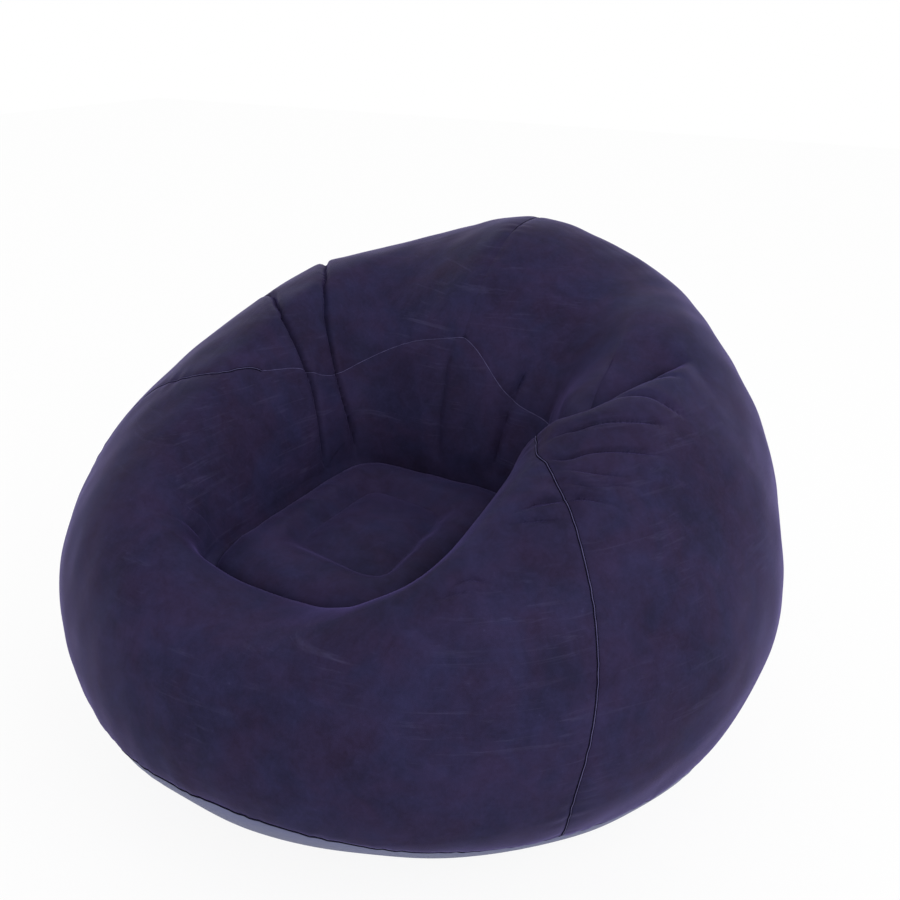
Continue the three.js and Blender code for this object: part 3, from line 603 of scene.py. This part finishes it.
# Columns run from the base seam to the top seam, the first along the side seam, the last down the back.
def rear_grid(side):
    along_top = steps([56, 34, 12, 12, 12, 12] + [13] * 6)
    along_side = steps([12, 12, 12, 14, 20, 24, 38, 42, 34, 32])
    seam = through(side_seam[side], along_side)
    top = through(top_turns, along_top)
    over_rim = np.clip(seam[:, 1] - rim_station, 0, None) / (seam[-1, 1] - rim_station)
    heads = top_station(top, side)
    below_rim = np.minimum(seam[:, 1], rim_station)
    stations = below_rim[None, :] + (heads[:, None] - rim_station) * over_rim[None, :]
    tables = foot_shares, fold_top_shares, rim_shares, top_shares
    shares = [np.interp(along_top, range(len(table)), table) for table in tables]
    share = shares[0][:, None] + 0 * stations
    tops = [fold_top_station + 0 * top, rim_station + 0 * top, heads]
    lows = [base_station + 0 * top] + tops[:2]
    for low, high, before, after in zip(lows, tops, shares[:-1], shares[1:]):
        rising = smoothstep(stations, low[:, None], high[:, None])
        blended = before[:, None] + (after - before)[:, None] * rising
        share = np.where(stations >= low[:, None], blended, share)
    turns = seam[None, :, 0] + (180 - seam[None, :, 0]) * share
    turns[:, -1] = top
    return np.radians(side * turns), stations


# The stiff flange of the valve holds the skin flat round it, low on the left rear panel.
valve_hinge = next(joint for joint in frame["joints"] if joint["name"] == "insert_strap")
valve_out = -np.array(next(joint for joint in frame["joints"] if joint["name"] == "flap_lift")["axis"])
valve_up = np.cross(valve_out, valve_hinge["axis"])
hinge_below, hinge_outside = 0.0218, 0.0061
valve_centre = np.array(valve_hinge["pos_m"]) + hinge_below * valve_up - hinge_outside * valve_out
flange_radius, blend_radius = 0.030, 0.055

rear_panels = {}
for side, word in ((1, "right"), (-1, "left")):
    points, normals = blown_skin(*rear_grid(side))
    if side < 0:
        points, normals = points[::-1], normals[::-1]
        offset = points - valve_centre
        away = np.linalg.norm(offset, axis=-1)
        held = 1 - smoothstep(away, flange_radius, blend_radius)
        points = points - (held * (offset @ valve_out))[..., None] * valve_out
    panel = sheet_piece(word + "_rear_skin", points, normals, closed=False)
    rear_panels[word] = panel

# The hole for the valve's neck is round, so the flat skin near it is laid again from a true circle.
left_panel = rear_panels["left"]
cleared_radius, search_radius, hole_radius, hole_steps = 0.026, 0.04, 0.0168, 48
across, upward = Vector(valve_hinge["axis"]), Vector(valve_up)
centre = Vector(valve_centre)


def within(radius, part):
    return all((corner.co - centre).length < radius for corner in part.verts)


skin = bmesh.new()
skin.from_mesh(left_panel.data)
gone = [face for face in skin.faces if within(cleared_radius, face)]
bmesh.ops.delete(skin, geom=gone, context="FACES")
ragged = [edge for edge in skin.edges if edge.is_boundary and within(search_radius, edge)]
circle = []
for i in range(hole_steps):
    angle = 2 * math.pi * i / hole_steps
    spoke = math.cos(angle) * across + math.sin(angle) * upward
    circle.append(skin.verts.new(centre + hole_radius * spoke))
ring = [skin.edges.new((circle[i], circle[(i + 1) % hole_steps])) for i in range(hole_steps)]
bmesh.ops.bridge_loops(skin, edges=ragged + ring)
loose = [corner for corner in skin.verts if not corner.link_faces]
bmesh.ops.delete(skin, geom=loose, context="VERTS")
bmesh.ops.recalc_face_normals(skin, faces=skin.faces)
skin.to_mesh(left_panel.data)
skin.free()

for word, panel in rear_panels.items():
    thicken(panel)
    panel.data.materials.append(flock)
    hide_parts(word + "_rear_panel")
    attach(panel, "chair")


# Seat panel
# Flocked vinyl welded into the bottom of the well. Ties inside the air pull down its edge and a
# square channel, so that a rolled border and a middle pillow stand up between them.

# Share runs from 0 at the seam over the border to 1 in the channel, and to 2 in the pillow's middle.
channel_rise, roll_crown, pillow_rise = 0.011, 0.026, 0.013
pillow_centre = -0.137
channel_corners = np.array([(-0.073, -0.214), (0.084, -0.254), (0.064, -0.044), (-0.072, -0.022)])


def seat_point(turn, share):
    turn, share = np.broadcast_arrays(turn, share)
    edge_x, edge_y = seat_ring(turn)
    square_x, square_y = ring_plan(half=1.0, front=1.0, back=1.0, power=7, turn=turn)
    left, right = (1 - square_x) / 2, (1 + square_x) / 2
    ahead, behind = (1 - square_y) / 2, (1 + square_y) / 2
    shares = np.stack([left * ahead, right * ahead, right * behind, left * behind], -1)
    channel_x, channel_y = np.moveaxis(shares @ channel_corners, -1, 0)
    roll = np.clip(share, 0, 1)
    rise = np.clip(share - 1, 0, 1)
    x = (edge_x + (channel_x - edge_x) * roll) * (1 - rise)
    y = (edge_y + (channel_y - edge_y) * roll) * (1 - rise) + pillow_centre * rise
    roundness = 0.55 + 0.65 * smoothstep(roll, 0.5, 1)
    z = seat_height + channel_rise * roll + roll_crown * np.sin(np.pi * roll) ** roundness
    z = np.where(share > 1, seat_height + channel_rise + pillow_rise * (1 - (1 - rise) ** 2.8), z)
    return np.stack([x, y, z], -1)


seat_turn = np.radians(np.linspace(-180, 180, 361)[:-1])
roll_shares = (1 - np.cos(np.pi * np.linspace(0, 1, 41))) / 2
last_ring_share = 0.96
seat_shares = np.concatenate([roll_shares, 1 + np.linspace(0, last_ring_share, 26)[1:]])
seat_grid = seat_point(seat_turn[:, None], seat_shares[None, :])
flat = seat_grid.reshape(-1, 3)
off_seam = np.repeat(smoothstep(seat_shares, 0, 0.1)[None, :], len(seat_turn), 0).reshape(-1)
flat[:, 2] += 0.0007 * uneven(flat, wavelength=0.05, seed=8) * off_seam
seat_normals = np.zeros_like(seat_grid)
seat_normals[..., 2] = 1
seat_top = seat_point(np.array(0.0), np.array(2.0))
seat_panel = sheet_piece("seat_skin", flat.reshape(seat_grid.shape), seat_normals, closed=True,
                         fin_loops=1, middle=seat_top)
thicken(seat_panel)
seat_panel.data.materials.append(flock)
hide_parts("seat_panel")
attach(seat_panel, "chair")


# Base panel
# Plain grey-blue vinyl sheet, smooth and a little glossy: a shallow bowl from the base seam in to
# the flat that stands on the floor. It is welded to the flocked panels along its edge.

# One group of nodes gives every bare vinyl its cloudy tone, its patchy gloss and its fine pressed
# grain.
vinyl_group = bpy.data.node_groups.new("bare_vinyl_surface", "ShaderNodeTree")
for name in ("Dark", "Light"):
    vinyl_group.interface.new_socket(name, in_out="INPUT", socket_type="NodeSocketColor")
for name in ("Cloud Scale", "Roughness", "Gloss Spread", "Grain Scale", "Grain Depth"):
    vinyl_group.interface.new_socket(name, in_out="INPUT", socket_type="NodeSocketFloat")
for name, kind in (("Color", "Color"), ("Roughness", "Float"), ("Normal", "Vector")):
    vinyl_group.interface.new_socket(name, in_out="OUTPUT", socket_type="NodeSocket" + kind)
given = vinyl_group.nodes.new("NodeGroupInput").outputs
result = vinyl_group.nodes.new("NodeGroupOutput").inputs
where = vinyl_group.nodes.new("ShaderNodeTexCoord").outputs["Object"]
haze = noise(vinyl_group, where, given["Cloud Scale"], detail=3, roughness=0.5, distortion=0.2)
haze = spread(vinyl_group, haze, 0.3, 0.7)
gloss = calc(vinyl_group, "MULTIPLY_ADD", haze, given["Gloss Spread"], given["Roughness"])
grain = noise(vinyl_group, where, given["Grain Scale"], detail=2, roughness=0.5)
vinyl_group.links.new(mix_colours(vinyl_group, haze, given["Dark"], given["Light"]), result["Color"])
vinyl_group.links.new(gloss, result["Roughness"])
vinyl_group.links.new(raised(vinyl_group, grain, given["Grain Depth"], strength=0.3), result["Normal"])


# Shine is the specular level: bare sheet has the usual half, and a rough folded weld almost none.
def bare_vinyl(name, dark, light, cloud_scale, roughness, gloss_spread, grain_scale, grain_depth,
               shine=0.5):
    material = bpy.data.materials.new(name)
    material.use_nodes = True
    tree = material.node_tree
    surface = tree.nodes.new("ShaderNodeGroup")
    surface.node_tree = vinyl_group
    values = (*dark, 1), (*light, 1), cloud_scale, roughness, gloss_spread, grain_scale, grain_depth
    for socket, value in zip(surface.inputs, values):
        socket.default_value = value
    shader = tree.nodes["Principled BSDF"]
    shader.inputs["Specular IOR Level"].default_value = shine
    for output, target in (("Color", "Base Color"), ("Roughness", "Roughness"), ("Normal", "Normal")):
        tree.links.new(surface.outputs[output], shader.inputs[target])
    return material


vinyl = bare_vinyl("grey_blue_vinyl", dark=(0.106, 0.116, 0.232), light=(0.138, 0.148, 0.275),
                   cloud_scale=9, roughness=0.36, gloss_spread=0.14, grain_scale=420, grain_depth=0.0003)

# The columns run from the seam down to the bend near the floor, and from there in to the foot ring.
bend_station = 0.1
base_turn = np.radians(np.linspace(180, -180, 481)[:-1])
base_shares = np.concatenate([np.linspace(1, 0, 41)[:-1], np.linspace(0, -bend_station, 9)])
base_turns = base_turn[:, None] + 0 * base_shares[None, :]
to_seam = base_seam(np.degrees(base_turns)) - bend_station
base_rows = bend_station + np.where(base_shares > 0, to_seam, 1) * base_shares[None, :]
points = skin_point(base_turns, base_rows).reshape(-1, 3)
normals = skin_normal(base_turns, base_rows).reshape(-1, 3)
height, _ = seam_height(points, normals, seam_lines["base"], *dips["base"])
height += 0.0008 * uneven(points, wavelength=0.12, seed=5) * smoothstep(base_rows.reshape(-1), 0.15, 0.4)
points += normals * height[:, None]
base_points = points.reshape(*base_turns.shape, 3)
base_normals = normals.reshape(*base_turns.shape, 3)
base_middle = (0, 0.075, 0)
base_panel = sheet_piece("base_skin", base_points, base_normals, closed=True, fin_loops=1,
                         middle=base_middle)
thicken(base_panel)
base_panel.data.materials.append(vinyl)
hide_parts("base_panel")
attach(base_panel, "chair")


# Weld lines
# Where two panels meet, the folded edge of the weld is bare of flock and shows as a thin line of the
# vinyl beneath. The dark narrow crease beside it is painted shade: a near-black ribbon under the bead.
weld = bare_vinyl("bare_weld_vinyl", dark=(0.066, 0.058, 0.140), light=(0.110, 0.098, 0.210),
                  cloud_scale=90, roughness=0.5, gloss_spread=0.2, grain_scale=700,
                  grain_depth=0.0001, shine=0.08)
# A near-black sheet that stands for the shade in a seam's crease: painted shade, not the vinyl's colour.
crease_painted_shade = bare_vinyl("painted_crease_shade", dark=(0.0045, 0.0040, 0.0110), light=(0.0090, 0.0080, 0.0200),
                         cloud_scale=90, roughness=0.7, gloss_spread=0.2, grain_scale=700,
                         grain_depth=0.0001, shine=0.02)
weld_sides = 8


# An oval bead along a seam. Lift is how far its middle stands off the skin, as one value or one for
# each place.
def weld_line(name, turns, stations, width, height, lift, material):
    line, out = blown_skin(turns[:, None], stations[:, None])
    line, out = line[:, 0] + np.reshape(lift, (-1, 1)) * out[:, 0], out[:, 0]
    ahead = unit(np.gradient(line, axis=0))
    across = unit(np.cross(ahead, out))
    angles = 2 * np.pi * np.arange(weld_sides) / weld_sides
    rings = (line[:, None] + width / 2 * np.cos(angles)[None, :, None] * across[:, None]
             + height / 2 * np.sin(angles)[None, :, None] * out[:, None])
    count = len(line)
    index = np.arange(count * weld_sides).reshape(count, weld_sides)
    nearer = np.roll(index, -1, 1)
    faces = np.stack([index[:-1], nearer[:-1], nearer[1:], index[1:]], -1).reshape(-1, 4).tolist()
    faces += [index[0][::-1].tolist(), index[-1].tolist()]
    mesh = bpy.data.meshes.new(name)
    mesh.from_pydata(rings.reshape(-1, 3).tolist(), [], faces)
    piece = bpy.data.objects.new(name, mesh)
    bpy.context.scene.collection.objects.link(piece)
    only(piece)
    bpy.ops.object.mode_set(mode="EDIT")
    bpy.ops.mesh.select_all(action="SELECT")
    bpy.ops.mesh.normals_make_consistent(inside=False)
    bpy.ops.object.mode_set(mode="OBJECT")
    bpy.ops.object.shade_smooth()
    piece.data.materials.append(material)
    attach(piece, "chair")


for side, word in ((1, "right"), (-1, "left")):
    seam = through(side_seam[side], steps([20] * 10))
    turns = np.radians(side * seam[:, 0])
    weld_line("side_weld_" + word, turns, seam[:, 1],
              width=0.0011, height=0.0012, lift=0.0012, material=weld)
    # Painted shade: a dark ribbon under the pale bead stands for the shadow in the crease.
    weld_line("side_crease_" + word, turns, seam[:, 1],
              width=0.0036, height=0.0008, lift=0.0010, material=crease_painted_shade)
    top = through(top_turns, steps([10] * 12))
    weld_line("top_weld_" + word, np.radians(side * top), top_station(top, side),
              width=0.0009, height=0.0012, lift=0.0, material=weld)

# The back seam is a dark line of painted shade for its groove, and inside the well it dives under the flock.
stations = np.linspace(base_station, back_top_station, 260)
lifts = 0.0002 - 0.0030 * smoothstep(stations, 2.1, 2.3)
weld_line("back_seam_shade", np.pi + 0 * stations, stations,
          width=0.0015, height=0.0012, lift=lifts, material=crease_painted_shade)
# The base seam is a dark line of painted shade for its groove.
turns = np.linspace(-180, 180, 481)
weld_line("base_seam_shade", np.radians(turns), base_seam(turns),
          width=0.0034, height=0.0010, lift=0.0010, material=crease_painted_shade)


# Valve
# Soft moulded vinyl: a neck welded into the panel, an insert in it with the check flap under its bore,
# and a stopper in the insert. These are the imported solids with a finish.
soft = bare_vinyl("soft_moulding", dark=(0.40, 0.42, 0.50), light=(0.50, 0.52, 0.60), cloud_scale=160,
                  roughness=0.32, gloss_spread=0.16, grain_scale=900, grain_depth=0.0001)
for name in ("valve_neck", "valve_insert", "valve_stopper", "check_flap"):
    node = frame["nodes"][name]
    node.data.materials.clear()
    node.data.materials.append(soft)


# Ties
# Eight plain vinyl sheets inside the air, welded to the seat's edge or its channel and to the base.
# They hold the seat down against the air, and they never show.
for name, node in frame["nodes"].items():
    if "_tie_" in name:
        node.data.materials.clear()
        node.data.materials.append(vinyl)


# Studio
# A plain pale floor that keeps the chair's shadow, soft light from all round and from a large lamp
# high on the right, and the camera at the photograph's place.
floor_reach, floor_drop = 8, 0.0006
corners = [(x * floor_reach, y * floor_reach, -floor_drop) for x, y in ((-1, -1), (1, -1), (1, 1), (-1, 1))]
floor_mesh = bpy.data.meshes.new("floor")
floor_mesh.from_pydata(corners, [], [(0, 1, 2, 3)])
floor = bpy.data.objects.new("floor", floor_mesh)
bpy.context.scene.collection.objects.link(floor)
pale = bpy.data.materials.new("pale_floor")
pale.use_nodes = True
tree = pale.node_tree
shader = tree.nodes["Principled BSDF"]
shader.inputs["Base Color"].default_value = (0.9, 0.9, 0.9, 1)
shader.inputs["Roughness"].default_value = 0.9
glow = tree.nodes.new("ShaderNodeEmission")
glow.inputs["Color"].default_value = (1, 1, 1, 1)
glow.inputs["Strength"].default_value = 1.02
glow_mix = tree.nodes.new("ShaderNodeMixShader")
seen = tree.nodes.new("ShaderNodeLightPath").outputs
tree.links.new(calc(tree, "MULTIPLY", seen["Is Camera Ray"], 0.88), glow_mix.inputs["Fac"])
tree.links.new(shader.outputs["BSDF"], glow_mix.inputs[1])
tree.links.new(glow.outputs["Emission"], glow_mix.inputs[2])
tree.links.new(glow_mix.outputs["Shader"], tree.nodes["Material Output"].inputs["Surface"])
floor_mesh.materials.append(pale)

world = bpy.data.worlds.new("studio")
bpy.context.scene.world = world
world.use_nodes = True
tree = world.node_tree
sky = tree.nodes["Background"]
sky.inputs["Color"].default_value = (1, 1, 1, 1)
seen = tree.nodes.new("ShaderNodeLightPath").outputs
clear_rays = calc(tree, "MAXIMUM", seen["Is Glossy Ray"], seen["Is Transmission Ray"])
plain_rays = calc(tree, "MAXIMUM", seen["Is Camera Ray"], clear_rays)
tree.links.new(calc(tree, "MULTIPLY_ADD", plain_rays, 0.2, 0.8), sky.inputs["Strength"])

lamp_aim = Vector((0, 0, 0.35))


def soft_lamp(name, at, size, power):
    lamp = bpy.data.lights.new(name, "AREA")
    lamp.shape = "DISK"
    lamp.size = size
    lamp.energy = power
    body = bpy.data.objects.new(name, lamp)
    body.location = at
    body.rotation_euler = (lamp_aim - Vector(at)).to_track_quat("-Z", "Y").to_euler()
    bpy.context.scene.collection.objects.link(body)


soft_lamp("key", at=(2.9, -1.2, 2.3), size=2.4, power=42)

# The camera stands off a point in the chair, and is then turned off it by the pan and the tilt.
focal_pixels, frame_pixels, sensor_width = 1030.6, 900, 36
stand_off, aim = 1.611, Vector((0, 0.004, 0.28))
azimuth, elevation, pan, tilt = (math.radians(angle) for angle in (29.85, 29.3, 1.55, 5.6))
camera_data = bpy.data.cameras.new("camera")
camera_data.lens = focal_pixels / frame_pixels * sensor_width
camera_data.sensor_width = sensor_width
camera = bpy.data.objects.new("camera", camera_data)
back = Vector((math.sin(azimuth) * math.cos(elevation), -math.cos(azimuth) * math.cos(elevation),
               math.sin(elevation)))
right = Vector((math.cos(azimuth), math.sin(azimuth), 0))
up = right.cross(-back)
ahead = -back * math.cos(tilt) + up * math.sin(tilt)
top = up * math.cos(tilt) + back * math.sin(tilt)
turned = ahead * math.cos(pan) + right * math.sin(pan)
sideways = right * math.cos(pan) - ahead * math.sin(pan)
camera.matrix_world = Matrix((
    (sideways.x, top.x, -turned.x, 0), (sideways.y, top.y, -turned.y, 0),
    (sideways.z, top.z, -turned.z, 0), (0, 0, 0, 1)))
camera.location = aim + back * stand_off
bpy.context.scene.collection.objects.link(camera)
bpy.context.scene.camera = camera
bpy.context.scene.view_settings.view_transform = "Standard"
